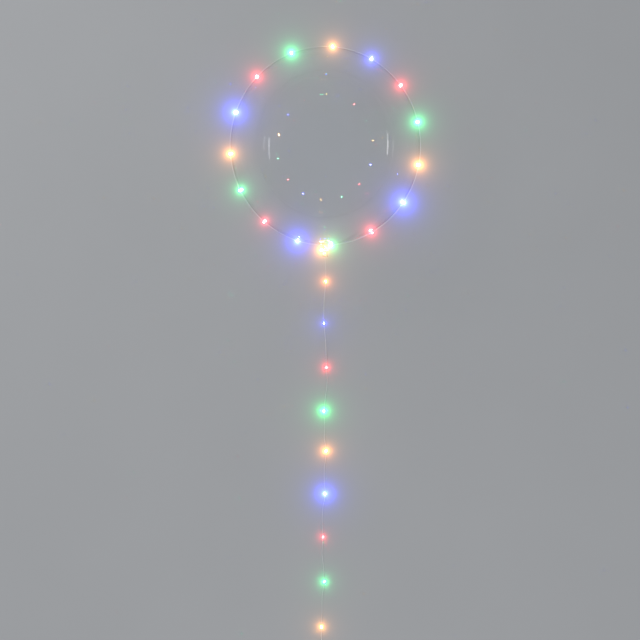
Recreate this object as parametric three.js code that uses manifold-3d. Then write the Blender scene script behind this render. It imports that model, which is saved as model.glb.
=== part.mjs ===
// A clear bubble balloon with a string of coloured lights, lying on a flat surface.
// Millimetres, +Z up. The origin is the middle of the small flat spot that the ball rests on.
// The neck's axis lies along -Y, and the string's ring goes round the ball in the level plane of that axis.
import * as THREE from "three";
import { mergeVertices } from "three/addons/utils/BufferGeometryUtils.js";
import Module from "manifold-3d";

const wasm = await Module();
wasm.setup();

// The ball of clear film, its neck and its tail
const BALL_ACROSS = 430;
const BALL_LENGTH = 448;
const FLAT_SPOT_ACROSS = 70;
const GATHER_ACROSS = 44;
const GATHER_LENGTH = 8;
const NECK_ACROSS = 9;
const NECK_LENGTH = 6;
const TAIL_ACROSS = 16;
const TAIL_LENGTH = 14;
const TAIL_FLARE_START = 6;

// The wire of the light string, its beads and the clearance that every piece keeps to its neighbour
const WIRE_ACROSS = 1.5;
const BEAD_ACROSS = 4;
const BEAD_LENGTH = 7;
const BEAD_LIP = 0.35;
const GAP = 0.3;
const WIRE_LIFT = 0.15;
const NECK_TURNS = 3;
const RING_WANDER = 1.8;
const RING_WAVES = 3;
const END_BEAD_RISE = 3;

// The plain lead past the last bead, in a coil held by a tie, and its short way on to the battery box
const COIL_ACROSS = 18;
const COIL_BAND_WIDTH = 5;
const COIL_BAND_HEIGHT = 5;
const COIL_TIE_WIDTH = 3;
const COIL_TIE_THICKNESS = 0.5;
const LEAD_RUN = 20;
const LEAD_START_DEPTH = 1;
const LEAD_SAG = 0.8;

// The battery box at the string's end
const BOX_WIDTH = 34;
const BOX_LENGTH = 64;
const BOX_HEIGHT = 17;
const BOX_CORNER = 4;
const BOX_WALL = 1.8;
const LID_THICKNESS = 1.8;
const LID_LIP = 1.2;
const BOSS_ACROSS = 6;
const BOSS_LENGTH = 4;
const BOSS_HEIGHT = 3.2;
const SCREW_ACROSS = 5;
const SCREW_TOP_ACROSS = 3.8;
const SCREW_HEIGHT = 1.2;
const SCREW_INSET = 7;

// The ring's beads: degrees from the neck, round by +X and the far pole
const RING_BEADS = [3.6, 28.2, 54, 78.4, 104.3, 128.6, 152, 175.8, 200.1, 224.7, 249.7, 274.9, 297.7, 321.2, 343.8];
const RING_COLOURS = ["green", "red", "blue", "amber"];
const TRAIL_COLOURS = ["amber", "blue", "red", "green"];

// The hanging stretch of the loose wire: sideways place, distance out from the neck's turns, share of the fall
// that is left, and whether a bead sits there.
const HANGING_ROUTE = [
  [-3.2, 0, 1, false],
  [-3.4, 5, 0.995, false],
  [-2.6, 10.5, 0.953, false],
  [-0.6, 21.5, 0.861, false],
  [0.9, 44.5, 0.693, false],
  [1.1, 70.5, 0.53, true],
  [-1.8, 104.5, 0.355, false],
  [-3.4, 134.5, 0.233, false],
  [-2.7, 168.2, 0.129, true],
  [0.8, 209.5, 0.045, false],
  [2.0, 239.5, 0.011, false],
];

// The stretch along the surface: sideways place, distance out from the neck's turns, and whether a bead sits there
const LYING_ROUTE = [
  [2.9, 269.6, true],
  [4.6, 303.5, false],
  [0.6, 339.5, false],
  [-3.2, 371, true],
  [-0.8, 403.5, false],
  [-1.6, 435.5, false],
  [2.2, 464.2, true],
  [-1.2, 500.5, false],
  [-2.0, 533.5, false],
  [-0.1, 563.5, true],
  [-5.2, 597.5, false],
  [-6.8, 633.5, false],
  [-5.3, 664.2, true],
  [-7.2, 701.5, false],
  [-3.8, 735.5, false],
  [-2.5, 767.7, true],
  [-6.9, 803.5, false],
  [-7.4, 840.5, false],
  [-8.5, 872.8, true],
  [-8.5, 892, false],
  [-8.5, 904, false],
  [-8.5, 916, false],
];

// Faces: how finely the round forms are cut
const BALL_SIDES = 52;
const BALL_ROWS = 26;
const GATHER_ROWS = 5;
const WIRE_SIDES = 8;
const STEPS_BETWEEN_POINTS = 2;
const RING_STEPS_BETWEEN_BEADS = 5;
const BEAD_SIDES = 8;
const BEAD_ROWS = 2;
const TURNS_SIDES = 16;
const COIL_SIDES = 24;
const SMALL_ROUND_SIDES = 16;
const CORNER_STEPS = 4;

// Sizes that follow from those above
const ballRadius = BALL_ACROSS / 2;
const ballHalfLength = BALL_LENGTH / 2;
const ballHeight = Math.sqrt(ballRadius ** 2 - (FLAT_SPOT_ACROSS / 2) ** 2);
const gatherRadius = GATHER_ACROSS / 2;
const neckRadius = NECK_ACROSS / 2;
const neckStart = -(ballHalfLength + GATHER_LENGTH);
const neckMiddle = neckStart - NECK_LENGTH / 2;
const neckEnd = neckStart - NECK_LENGTH;
const tailEnd = neckEnd - TAIL_LENGTH;
const wireRadius = WIRE_ACROSS / 2;
const beadRadius = BEAD_ACROSS / 2;
const boreRadius = (wireRadius + GAP) / Math.cos(Math.PI / BEAD_SIDES);
const turnsRadius = neckRadius + GAP + WIRE_ACROSS;
const besideTurns = turnsRadius + GAP + wireRadius;
const lyingHeight = wireRadius + WIRE_LIFT;
const fallHeight = ballHeight - besideTurns;
const coilOuterRadius = (COIL_ACROSS + COIL_BAND_WIDTH) / 2;
const outerTurnRadius = COIL_ACROSS / 2 + WIRE_ACROSS;
const coilReach = Math.sqrt(coilOuterRadius ** 2 - (outerTurnRadius - wireRadius) ** 2) + GAP;
const coilFloor = COIL_TIE_THICKNESS + GAP;
const leadStart = coilFloor + COIL_BAND_HEIGHT - LEAD_START_DEPTH;

const COLOURS = {
  amber: 0xffa640,
  blue: 0x3050ff,
  red: 0xff3040,
  green: 0x30e0a0,
};

const filmMaterial = () =>
  new THREE.MeshStandardMaterial({
    color: 0xf2f6f8,
    roughness: 0.06,
    metalness: 0,
    transparent: true,
    opacity: 0.25,
  });
const wireMaterial = () => new THREE.MeshStandardMaterial({ color: 0xc9ccd0, roughness: 0.3, metalness: 0.9 });
const boxMaterial = () => new THREE.MeshStandardMaterial({ color: 0xe9e9e6, roughness: 0.4, metalness: 0 });
const tieMaterial = () => new THREE.MeshStandardMaterial({ color: 0xdededb, roughness: 0.5, metalness: 0 });
const screwMaterial = () => new THREE.MeshStandardMaterial({ color: 0xb8bbbf, roughness: 0.35, metalness: 1 });
const beadMaterial = (colour) =>
  new THREE.MeshStandardMaterial({
    color: COLOURS[colour],
    emissive: COLOURS[colour],
    emissiveIntensity: 0.8,
    roughness: 0.15,
    metalness: 0,
  });

function named(name, geometry, material) {
  const mesh = new THREE.Mesh(geometry, material);
  mesh.name = name;
  return mesh;
}

// Solids that can be joined and cut, and back to a geometry
function solidOf(geometry) {
  const bare = geometry.clone();
  bare.deleteAttribute("normal");
  bare.deleteAttribute("uv");
  const merged = mergeVertices(bare);
  return new wasm.Manifold(
    new wasm.Mesh({
      numProp: 3,
      vertProperties: new Float32Array(merged.attributes.position.array),
      triVerts: new Uint32Array(merged.index.array),
    }),
  );
}

function geometryOf(solid) {
  const { vertProperties, triVerts } = solid.getMesh();
  const indexed = new THREE.BufferGeometry();
  indexed.setAttribute("position", new THREE.BufferAttribute(new Float32Array(vertProperties), 3));
  indexed.setIndex(new THREE.BufferAttribute(new Uint32Array(triVerts), 1));
  const geometry = indexed.toNonIndexed();
  geometry.computeVertexNormals();
  return geometry;
}

// The film's place along the neck's axis at a radius from it, on the neck's side of the ball: an ellipse, and
// nearer the neck than the gather's edge an elliptic fillet that turns it into the neck.
function filmHeight(radius) {
  const onBall = -ballHalfLength * Math.sqrt(1 - (radius / ballRadius) ** 2);
  const inward = Math.max(0, (gatherRadius - radius) / (gatherRadius - neckRadius));
  return onBall - GATHER_LENGTH * (1 - Math.sqrt(1 - Math.min(1, inward) ** 2));
}

// Half of the film's outline, from the tail's end to the far pole
function balloonOutline() {
  const points = [
    new THREE.Vector2(0, tailEnd),
    new THREE.Vector2(TAIL_ACROSS / 2, tailEnd),
    new THREE.Vector2((TAIL_ACROSS / 2 + neckRadius) / 2, neckEnd - TAIL_LENGTH + TAIL_FLARE_START),
    new THREE.Vector2(neckRadius, neckEnd),
  ];
  for (let i = 0; i < GATHER_ROWS; i++) {
    const turn = (i / GATHER_ROWS) * (Math.PI / 2);
    const radius = gatherRadius - (gatherRadius - neckRadius) * Math.cos(turn);
    points.push(new THREE.Vector2(radius, i ? filmHeight(radius) : filmHeight(neckRadius)));
  }
  const first = Math.asin(gatherRadius / ballRadius);
  for (let i = 0; i <= BALL_ROWS; i++) {
    const angle = first + ((Math.PI - first) * i) / BALL_ROWS;
    const radius = i < BALL_ROWS ? ballRadius * Math.sin(angle) : 0;
    points.push(new THREE.Vector2(radius, -ballHalfLength * Math.cos(angle)));
  }
  return points;
}

function makeBalloon() {
  const ball = solidOf(new THREE.LatheGeometry(balloonOutline(), BALL_SIDES));
  const below = new THREE.BoxGeometry(BALL_ACROSS, BALL_LENGTH, BALL_ACROSS);
  below.translate(0, 0, -ballHeight - BALL_ACROSS / 2);
  return named("balloon", geometryOf(ball.subtract(solidOf(below))), filmMaterial());
}

// A smooth curve through its points, with one section of the wire standing at each of them
class RoutedCurve extends THREE.CatmullRomCurve3 {
  getUtoTmapping(u) {
    return u;
  }
}

function wireAlong(curve, steps) {
  const section = new THREE.Shape(
    Array.from({ length: WIRE_SIDES }, (_, i) => {
      const angle = (2 * Math.PI * (i + 0.5)) / WIRE_SIDES;
      return new THREE.Vector2(wireRadius * Math.cos(angle), wireRadius * Math.sin(angle));
    }),
  );
  return new THREE.ExtrudeGeometry(section, { steps, extrudePath: curve });
}

// A drop of clear resin with a bore for the wire, about its own Y axis
function beadGeometry() {
  const widest = Math.acos((boreRadius + BEAD_LIP) / beadRadius);
  const points = [new THREE.Vector2(boreRadius, -BEAD_LENGTH / 2)];
  for (let i = 0; i <= BEAD_ROWS; i++) {
    const angle = widest * ((2 * i) / BEAD_ROWS - 1);
    points.push(
      new THREE.Vector2(beadRadius * Math.cos(angle), ((BEAD_LENGTH / 2) * Math.sin(angle)) / Math.sin(widest)),
    );
  }
  points.push(new THREE.Vector2(boreRadius, BEAD_LENGTH / 2), points[0].clone());
  return new THREE.LatheGeometry(points, BEAD_SIDES);
}

function beadAt(name, colour, curve, share) {
  const bead = named(name, beadGeometry(), beadMaterial(colour));
  bead.position.copy(curve.getPoint(share));
  bead.quaternion.setFromUnitVectors(new THREE.Vector3(0, 1, 0), curve.getTangent(share));
  return bead;
}

// The ring's wire, about the ball's centre: degrees from the neck, clear of the film by the bead's own radius at
// a bead and by the wire's between beads, with a slight wander out of the level plane.
function ringPoint(degrees, clear) {
  const angle = THREE.MathUtils.degToRad(degrees);
  const sideways = Math.sin(angle);
  const back = -Math.cos(angle);
  const ellipse = 1 / Math.hypot(sideways / ballRadius, back / ballHalfLength);
  const radius = Math.abs(ellipse * sideways);
  const gathered = back < 0 && radius < gatherRadius ? filmHeight(radius) - ellipse * back : 0;
  return new THREE.Vector3(
    (ellipse + clear) * sideways,
    (ellipse + clear) * back + gathered,
    RING_WANDER * Math.sin(RING_WAVES * angle) * Math.abs(Math.sin(angle / 2)),
  );
}

function ringRoute() {
  const atBead = GAP + beadRadius;
  const between = 2 * GAP + wireRadius;
  const points = [
    new THREE.Vector3(besideTurns, neckMiddle, 0),
    new THREE.Vector3(besideTurns + WIRE_ACROSS, neckStart + 2 * GAP, 0),
  ];
  const beads = [];
  const beadTurn = THREE.MathUtils.radToDeg((BEAD_LENGTH / 2 + GAP) / ballRadius);
  RING_BEADS.forEach((degrees, i) => {
    if (i === 0) points.push(ringPoint(degrees - beadTurn, atBead));
    beads.push(points.length);
    points.push(ringPoint(degrees, atBead));
    if (i === 0) points.push(ringPoint(degrees + beadTurn, atBead));
    if (i === RING_BEADS.length - 1) return;
    for (let k = 1; k < RING_STEPS_BETWEEN_BEADS; k++) {
      const share = k / RING_STEPS_BETWEEN_BEADS;
      const clear = THREE.MathUtils.lerp(between, atBead, Math.cos(Math.PI * share) ** 2);
      points.push(ringPoint(degrees + (RING_BEADS[i + 1] - degrees) * share, clear));
    }
  });
  const lastBead = RING_BEADS[RING_BEADS.length - 1];
  for (const share of [0.25, 0.5, 0.75]) points.push(ringPoint(lastBead + (360 - lastBead) * share, between));
  const besideNeck = -(turnsRadius + GAP + beadRadius);
  const endBead = neckMiddle - WIRE_ACROSS;
  points.push(new THREE.Vector3(besideNeck, endBead + BEAD_LENGTH / 2 + GAP, END_BEAD_RISE));
  beads.push(points.length);
  points.push(new THREE.Vector3(besideNeck, endBead, END_BEAD_RISE));
  points.push(new THREE.Vector3(besideNeck, endBead - BEAD_LENGTH / 2 - GAP, END_BEAD_RISE));
  return { points, beads };
}

function makeRing() {
  const group = new THREE.Group();
  const { points, beads } = ringRoute();
  const curve = new RoutedCurve(points);
  const last = points.length - 1;
  group.add(named("light_wire_ring", wireAlong(curve, last), wireMaterial()));
  beads.forEach((at, i) => {
    const colour = RING_COLOURS[i % RING_COLOURS.length];
    const label = String(i + 1).padStart(2, "0");
    group.add(beadAt(`light_ring_${label}_${colour}`, colour, curve, at / last));
  });
  return group;
}

// The wire's turns round the neck, side by side, as one ring with a rounded ridge for each turn
function makeNeckTurns() {
  const inner = neckRadius + GAP;
  const low = neckMiddle - (NECK_TURNS * WIRE_ACROSS) / 2;
  const points = [new THREE.Vector2(inner, low)];
  for (let turn = 0; turn < NECK_TURNS; turn++) {
    const middle = low + (turn + 0.5) * WIRE_ACROSS;
    for (const share of [-0.8, 0, 0.8]) {
      const across = Math.cos((share * Math.PI) / 2);
      points.push(new THREE.Vector2(inner + wireRadius * (1 + across), middle + share * wireRadius));
    }
  }
  points.push(new THREE.Vector2(inner, low + NECK_TURNS * WIRE_ACROSS), points[0].clone());
  return named("neck_wire_turns", new THREE.LatheGeometry(points, TURNS_SIDES), wireMaterial());
}

// The loose wire from the neck's turns, down to the surface and along it to the coil
function trailRoute() {
  const start = neckMiddle;
  const hanging = HANGING_ROUTE.map(
    ([x, out, share]) => new THREE.Vector3(x, start - out, beadRadius + share * (fallHeight - beadRadius)),
  );
  const lying = LYING_ROUTE.map(
    ([x, out, bead]) => new THREE.Vector3(x, start - out, bead ? beadRadius : lyingHeight),
  );
  const beads = [...HANGING_ROUTE.map((row) => row[3]), ...LYING_ROUTE.map((row) => row[2])]
    .map((bead, i) => (bead ? i : -1))
    .filter((i) => i >= 0);
  return { points: [...hanging, ...lying], beads };
}

function makeTrail() {
  const group = new THREE.Group();
  const { points, beads } = trailRoute();
  const curve = new RoutedCurve(points);
  const last = points.length - 1;
  group.add(named("light_wire_trail", wireAlong(curve, last * STEPS_BETWEEN_POINTS), wireMaterial()));
  beads.forEach((at, i) => {
    const colour = TRAIL_COLOURS[i % TRAIL_COLOURS.length];
    group.add(beadAt(`light_trail_${i + 1}_${colour}`, colour, curve, at / last));
  });
  return group;
}

// The coil lies on its tie where the loose wire ends: the wire comes in along its outer turn and leaves the same way
function makeCoil() {
  const halfWidth = COIL_BAND_WIDTH / 2;
  const halfHeight = COIL_BAND_HEIGHT / 2;
  const points = Array.from({ length: 9 }, (_, i) => {
    const angle = (2 * Math.PI * (i + 0.5)) / 8;
    const across = halfWidth / Math.cos(Math.PI / 8);
    const up = halfHeight / Math.cos(Math.PI / 8);
    return new THREE.Vector2(COIL_ACROSS / 2 + across * Math.cos(angle), up * Math.sin(angle));
  });
  points[8].copy(points[0]);
  const band = new THREE.LatheGeometry(points, COIL_SIDES);
  band.rotateX(Math.PI / 2);
  band.translate(0, 0, coilFloor + halfHeight);
  return named("light_wire_coil", band, wireMaterial());
}

// A rectangle with round corners
function roundedRectangle(width, length, corner, Kind = THREE.Shape) {
  const x = width / 2;
  const y = length / 2;
  const outline = new Kind();
  outline.moveTo(-x + corner, -y);
  outline.lineTo(x - corner, -y);
  outline.absarc(x - corner, -y + corner, corner, -Math.PI / 2, 0);
  outline.lineTo(x, y - corner);
  outline.absarc(x - corner, y - corner, corner, 0, Math.PI / 2);
  outline.lineTo(-x + corner, y);
  outline.absarc(-x + corner, y - corner, corner, Math.PI / 2, Math.PI);
  outline.lineTo(-x, -y + corner);
  outline.absarc(-x + corner, -y + corner, corner, Math.PI, 1.5 * Math.PI);
  return outline;
}

// The tie goes round the coil's band, on the side away from the wire
function makeCoilTie() {
  const innerWidth = COIL_BAND_WIDTH + 4 * GAP;
  const innerHeight = COIL_BAND_HEIGHT + 2 * GAP;
  const outline = roundedRectangle(
    innerWidth + 2 * COIL_TIE_THICKNESS,
    innerHeight + 2 * COIL_TIE_THICKNESS,
    2 * COIL_TIE_THICKNESS,
  );
  outline.holes.push(roundedRectangle(innerWidth, innerHeight, COIL_TIE_THICKNESS, THREE.Path));
  const tie = new THREE.ExtrudeGeometry(outline, {
    depth: COIL_TIE_WIDTH,
    bevelEnabled: false,
    curveSegments: CORNER_STEPS,
  });
  tie.translate(0, 0, -COIL_TIE_WIDTH / 2);
  tie.rotateX(Math.PI / 2);
  tie.translate(COIL_ACROSS / 2, 0, COIL_TIE_THICKNESS + innerHeight / 2);
  return named("coil_tie", tie, tieMaterial());
}

function plate(width, length, corner, thickness, height) {
  const slab = new THREE.ExtrudeGeometry(roundedRectangle(width, length, corner), {
    depth: thickness,
    bevelEnabled: false,
    curveSegments: CORNER_STEPS,
  });
  slab.translate(0, 0, height);
  return solidOf(slab);
}

function rodAlongY(across, length, middle, height) {
  const rod = new THREE.CylinderGeometry(across / 2, across / 2, length, SMALL_ROUND_SIDES);
  rod.translate(0, middle, height);
  return solidOf(rod);
}

// An open box with a boss that the wire goes in through, on its end towards the coil
function makeBoxCase() {
  const inside = 2 * BOX_WALL;
  const shell = plate(BOX_WIDTH, BOX_LENGTH, BOX_CORNER, BOX_HEIGHT, 0);
  const pocket = plate(BOX_WIDTH - inside, BOX_LENGTH - inside, BOX_CORNER - BOX_WALL, BOX_HEIGHT, BOX_WALL);
  const bossLength = BOSS_LENGTH + BOX_WALL;
  const bossMiddle = BOX_LENGTH / 2 + (BOSS_LENGTH - BOX_WALL) / 2;
  const boss = rodAlongY(BOSS_ACROSS, bossLength, bossMiddle, BOSS_HEIGHT);
  const bore = rodAlongY(2 * boreRadius, bossLength + inside, bossMiddle, BOSS_HEIGHT);
  const hollow = shell.subtract(pocket).add(boss).subtract(bore);
  return named("battery_box_case", geometryOf(hollow), boxMaterial());
}

// A flat lid whose lip sits inside the case's walls
function makeBoxLid() {
  const inset = 2 * (BOX_WALL + GAP);
  const top = BOX_HEIGHT + GAP;
  const cover = plate(BOX_WIDTH, BOX_LENGTH, BOX_CORNER, LID_THICKNESS, top);
  const lipCorner = Math.max(BOX_CORNER - BOX_WALL - GAP, GAP);
  const lip = plate(BOX_WIDTH - inset, BOX_LENGTH - inset, lipCorner, LID_LIP + LID_THICKNESS / 2, top - LID_LIP);
  return named("battery_box_lid", geometryOf(cover.add(lip)), boxMaterial());
}

function makeBoxScrew() {
  const topRadius = SCREW_TOP_ACROSS / 2;
  const head = new THREE.CylinderGeometry(topRadius, SCREW_ACROSS / 2, SCREW_HEIGHT, SMALL_ROUND_SIDES);
  head.rotateX(Math.PI / 2);
  const onLid = BOX_HEIGHT + GAP + LID_THICKNESS + GAP + SCREW_HEIGHT / 2;
  head.translate(0, -BOX_LENGTH / 2 + SCREW_INSET, onLid);
  return named("battery_box_screw", head, screwMaterial());
}

// The short lead from the coil's top turn down to the box's boss
function makeLead() {
  const inBoss = -LEAD_RUN - BOSS_LENGTH - BOX_WALL / 2;
  const curve = new RoutedCurve([
    new THREE.Vector3(0, 0, leadStart),
    new THREE.Vector3(0, -LEAD_RUN * 0.3, (leadStart + BOSS_HEIGHT) / 2),
    new THREE.Vector3(0, -LEAD_RUN * 0.6, BOSS_HEIGHT - LEAD_SAG),
    new THREE.Vector3(0, -LEAD_RUN * 0.85, BOSS_HEIGHT),
    new THREE.Vector3(0, -LEAD_RUN, BOSS_HEIGHT),
    new THREE.Vector3(0, inBoss, BOSS_HEIGHT),
  ]);
  return named("light_wire_lead", wireAlong(curve, 5 * STEPS_BETWEEN_POINTS), wireMaterial());
}

const onBallCentre = new THREE.Group();
onBallCentre.position.z = ballHeight;
onBallCentre.add(makeBalloon(), makeRing(), makeNeckTurns());

const [wireEndX, wireEndOut] = LYING_ROUTE[LYING_ROUTE.length - 1];
const atCoil = new THREE.Group();
atCoil.position.set(wireEndX + outerTurnRadius, neckMiddle - wireEndOut - coilReach, 0);
atCoil.add(makeCoil(), makeCoilTie());

const lead = makeLead();
lead.position.set(wireEndX, atCoil.position.y - coilReach, 0);

const atBox = new THREE.Group();
atBox.position.set(wireEndX, lead.position.y - LEAD_RUN - BOSS_LENGTH - BOX_LENGTH / 2, 0);
atBox.add(makeBoxCase(), makeBoxLid(), makeBoxScrew());

const balloonWithLights = new THREE.Group();
balloonWithLights.add(onBallCentre, makeTrail(), atCoil, lead, atBox);

export default balloonWithLights;
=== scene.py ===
"""A clear bubble balloon with a string of coloured lights, lying on a pale floor and seen from above."""
import math

import bpy
import numpy as np
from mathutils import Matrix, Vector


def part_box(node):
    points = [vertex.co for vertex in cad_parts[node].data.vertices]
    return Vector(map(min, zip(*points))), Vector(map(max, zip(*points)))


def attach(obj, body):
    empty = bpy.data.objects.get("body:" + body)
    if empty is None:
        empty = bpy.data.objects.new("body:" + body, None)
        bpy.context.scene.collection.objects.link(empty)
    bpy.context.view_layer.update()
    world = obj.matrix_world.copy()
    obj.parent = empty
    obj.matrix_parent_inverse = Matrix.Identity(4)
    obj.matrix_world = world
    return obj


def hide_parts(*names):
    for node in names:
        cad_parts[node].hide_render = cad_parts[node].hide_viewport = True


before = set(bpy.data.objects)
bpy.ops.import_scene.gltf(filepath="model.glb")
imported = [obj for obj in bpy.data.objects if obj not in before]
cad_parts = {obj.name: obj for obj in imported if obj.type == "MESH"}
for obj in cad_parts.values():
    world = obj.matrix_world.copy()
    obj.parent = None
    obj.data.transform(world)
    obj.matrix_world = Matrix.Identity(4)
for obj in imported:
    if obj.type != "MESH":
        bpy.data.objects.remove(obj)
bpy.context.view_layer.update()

TURN = 2 * math.pi

# The camera stands high above the floor, so that the scale is nearly the same at the floor and the ball's top
PICTURE_WIDTH = 640
CAMERA_HEIGHT = 8.0
CAMERA_REACH = 50.0
FLOOR_PIXELS_PER_METRE = 430.0
RING_CENTRE_PIXEL = (325.3, 145.7)
SENSOR_WIDTH = 36.0

# The wire, in metres. The dip is the share of its radius that is missing between its two strands, the lift
# its clearance from the floor, and the gap the clearance between pieces.
WIRE_ACROSS = 0.0015
STRAND_DIP = 0.3
TWIST_LENGTH = 0.011
WIRE_LIFT = 0.00015
GAP = 0.0003
LOOSE_WIRE_STEP = 0.0011
RING_WIRE_STEP = 0.0016

# The ring of wire wanders out of its plane in a few waves, and rises to each bead within the rise's reach
RING_WANDER = 0.0018
RING_WAVES = 3
RISE_REACH = 0.0065
NECK_TURNS = 3

# The drops of resin and the lit chips inside them, in metres
BEAD_ACROSS = 0.004
BEAD_LENGTH = 0.007
CHIP_RADIUS = 0.00095
CHIP_LENGTH = 0.0022

# How large each chip is beside the usual size, by its light's number on the ring and on the loose wire
CHIP_SHARES = {
    "ring": [0.8, 0.68, 1.0, 1.0, 0.85, 0.7, 0.65, 0.7, 0.8, 0.7, 1.0, 0.9, 0.6, 0.58, 1.0, 1.15],
    "trail": [0.8, 0.62, 0.68, 0.8, 0.8, 0.88, 0.62, 0.68, 0.75],
}

# The colour that each light sends out, and the tint of its resin
LIGHTS = {
    "amber": ((1.0, 0.40, 0.07), (1.0, 0.86, 0.66)),
    "blue": ((0.035, 0.07, 1.0), (0.72, 0.78, 1.0)),
    "red": ((1.0, 0.025, 0.04), (1.0, 0.74, 0.74)),
    "green": ((0.035, 1.0, 0.30), (0.72, 1.0, 0.86)),
}
DROP_GLOW = 5.0
CHIP_GLOW = {"amber": 1500.0, "blue": 4200.0, "red": 2200.0, "green": 2000.0}

# The lamps beside the lights: metres from the light, size, watts by place, how much more a blue one gives,
# and how far the colour of those on the ring is paled
LAMP_OUT = 0.006
LAMP_SIZE = 0.003
LAMP_POWER = {"neck": 0.03, "ring": 0.24, "trail": 0.007}
BLUE_BOOST = 2
RING_LAMP_PALING = 0.08

# The film bag, in metres. The pleats' depth is a share of the radius.
BALL_RADIUS = 0.215
GATHER_RADIUS = 0.022
GATHER_LENGTH = 0.008
NECK_RADIUS = 0.0045
NECK_LENGTH = 0.006
TAIL_RADIUS = 0.008
TAIL_LENGTH = 0.014
FILM_THICKNESS = 0.00025
PLEAT_DEPTH = 0.24
PLEAT_FADE = 0.011
PRESS_SOFTNESS = 0.0005

# The hanging stretch of the loose wire: sideways place, distance out from the neck's turns, share of the fall
# that is left
HANGING_ROUTE = [
    (-0.0032, 0.0, 1.0),
    (-0.0034, 0.005, 0.995),
    (-0.0026, 0.0105, 0.953),
    (-0.0006, 0.0215, 0.861),
    (0.0009, 0.0445, 0.693),
    (0.0011, 0.0705, 0.53),
    (-0.0018, 0.1045, 0.355),
    (-0.0034, 0.1345, 0.233),
    (-0.0027, 0.1682, 0.129),
    (0.0008, 0.2095, 0.045),
    (0.0020, 0.2395, 0.011),
]

# The stretch along the floor: sideways place, distance out from the neck's turns, whether a bead sits there
LYING_ROUTE = [
    (0.0029, 0.2696, True),
    (0.0046, 0.3035, False),
    (0.0006, 0.3395, False),
    (-0.0032, 0.371, True),
    (-0.0008, 0.4035, False),
    (-0.0016, 0.4355, False),
    (0.0022, 0.4642, True),
    (-0.0012, 0.5005, False),
    (-0.0020, 0.5335, False),
    (-0.0001, 0.5635, True),
    (-0.0052, 0.5975, False),
    (-0.0068, 0.6335, False),
    (-0.0053, 0.6642, True),
    (-0.0072, 0.7015, False),
    (-0.0038, 0.7355, False),
    (-0.0025, 0.7677, True),
    (-0.0069, 0.8035, False),
    (-0.0074, 0.8405, False),
    (-0.0085, 0.8728, True),
    (-0.0085, 0.892, False),
    (-0.0085, 0.904, False),
    (-0.0085, 0.916, False),
]

# The coil's turns: radius and layer, each in wires from the mean radius and from the lowest layer
COIL_LAYOUT = [(1, 0), (0, 0), (-1, 0), (-1, 1), (0, 1), (1, 1), (0, 2), (1, 2)]
TIE_THICKNESS = 0.0005

# The lead from the coil to the box: share of the way, height. It then runs on inside the box.
SLEEVE_HEIGHT = 0.0032
LEAD_ROUTE = [(0.35, 0.0043), (0.62, 0.0028), (0.85, SLEEVE_HEIGHT), (1.0, SLEEVE_HEIGHT)]
LEAD_INSIDE = 0.009

# The battery box, in metres. The sleeve's taper is a share of its radius.
BOX_CORNER = 0.004
BOX_WALL = 0.0018
LID_THICKNESS = 0.0018
SLEEVE_RADIUS = 0.003
SLEEVE_TAPER = 0.28
SLEEVE_GROOVES = 3
SLEEVE_GROOVE_DEPTH = 0.00018
RIB_COUNT = 5
RIB_PITCH = 0.0035
RIB_HALF_SIZE = (0.008, 0.0008, 0.0005)
RIB_SUNK = 0.00002
FIRST_RIB = 0.006

# The sheet that stands for the floor
FLOOR_REACH = 9.0
FLOOR_HEIGHT = -0.0002


def box_corners(node):
    """The low and the high corner of a node's box."""
    return [np.array(corner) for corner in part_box(node)]


def middle(node):
    """The middle of a node's box."""
    low, high = box_corners(node)
    return (low + high) / 2


def extent(node):
    """The size of a node's box."""
    low, high = box_corners(node)
    return high - low


def unit(vectors):
    """The same directions, each one metre long."""
    return vectors / np.linalg.norm(vectors, axis=-1, keepdims=True)


NECK_MIDDLE = middle("neck_wire_turns")
NECK_START = NECK_MIDDLE[1] + NECK_LENGTH / 2
BALL_HEIGHT = NECK_MIDDLE[2]
BALL_CENTRE = np.array([0.0, 0.0, BALL_HEIGHT])
BALL_HALF_LENGTH = -NECK_START - GATHER_LENGTH
WIRE_RADIUS = WIRE_ACROSS / 2
BEAD_RADIUS = BEAD_ACROSS / 2
BESIDE_TURNS = NECK_RADIUS + GAP + WIRE_ACROSS + GAP + WIRE_RADIUS
RING_NODES = sorted(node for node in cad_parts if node.startswith("light_ring_"))
TRAIL_NODES = sorted(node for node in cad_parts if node.startswith("light_trail_"))


def add_camera():
    """Looks straight down, with the ring's centre on its pixel."""
    focal_pixels = FLOOR_PIXELS_PER_METRE * CAMERA_HEIGHT
    ring_scale = focal_pixels / (CAMERA_HEIGHT - BALL_HEIGHT)
    half = PICTURE_WIDTH / 2
    data = bpy.data.cameras.new("camera")
    data.sensor_width = SENSOR_WIDTH
    data.lens = focal_pixels * SENSOR_WIDTH / PICTURE_WIDTH
    data.clip_end = CAMERA_REACH
    camera = bpy.data.objects.new("camera", data)
    bpy.context.collection.objects.link(camera)
    camera.location = (
        -(RING_CENTRE_PIXEL[0] - half) / ring_scale,
        -(half - RING_CENTRE_PIXEL[1]) / ring_scale,
        CAMERA_HEIGHT,
    )
    bpy.context.scene.camera = camera


add_camera()


# The finishes. Soft noise, used by all of them, is one node group that each places with its own values.


def new_group(name, inputs, outputs):
    """An empty shader group with its named sockets, and its input and output nodes."""
    group = bpy.data.node_groups.new(name, "ShaderNodeTree")
    for socket, kind, value in inputs:
        made = group.interface.new_socket(socket, in_out="INPUT", socket_type=kind)
        made.default_value = value
    for socket, kind in outputs:
        group.interface.new_socket(socket, in_out="OUTPUT", socket_type=kind)
    return group, group.nodes.new("NodeGroupInput"), group.nodes.new("NodeGroupOutput")


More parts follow.
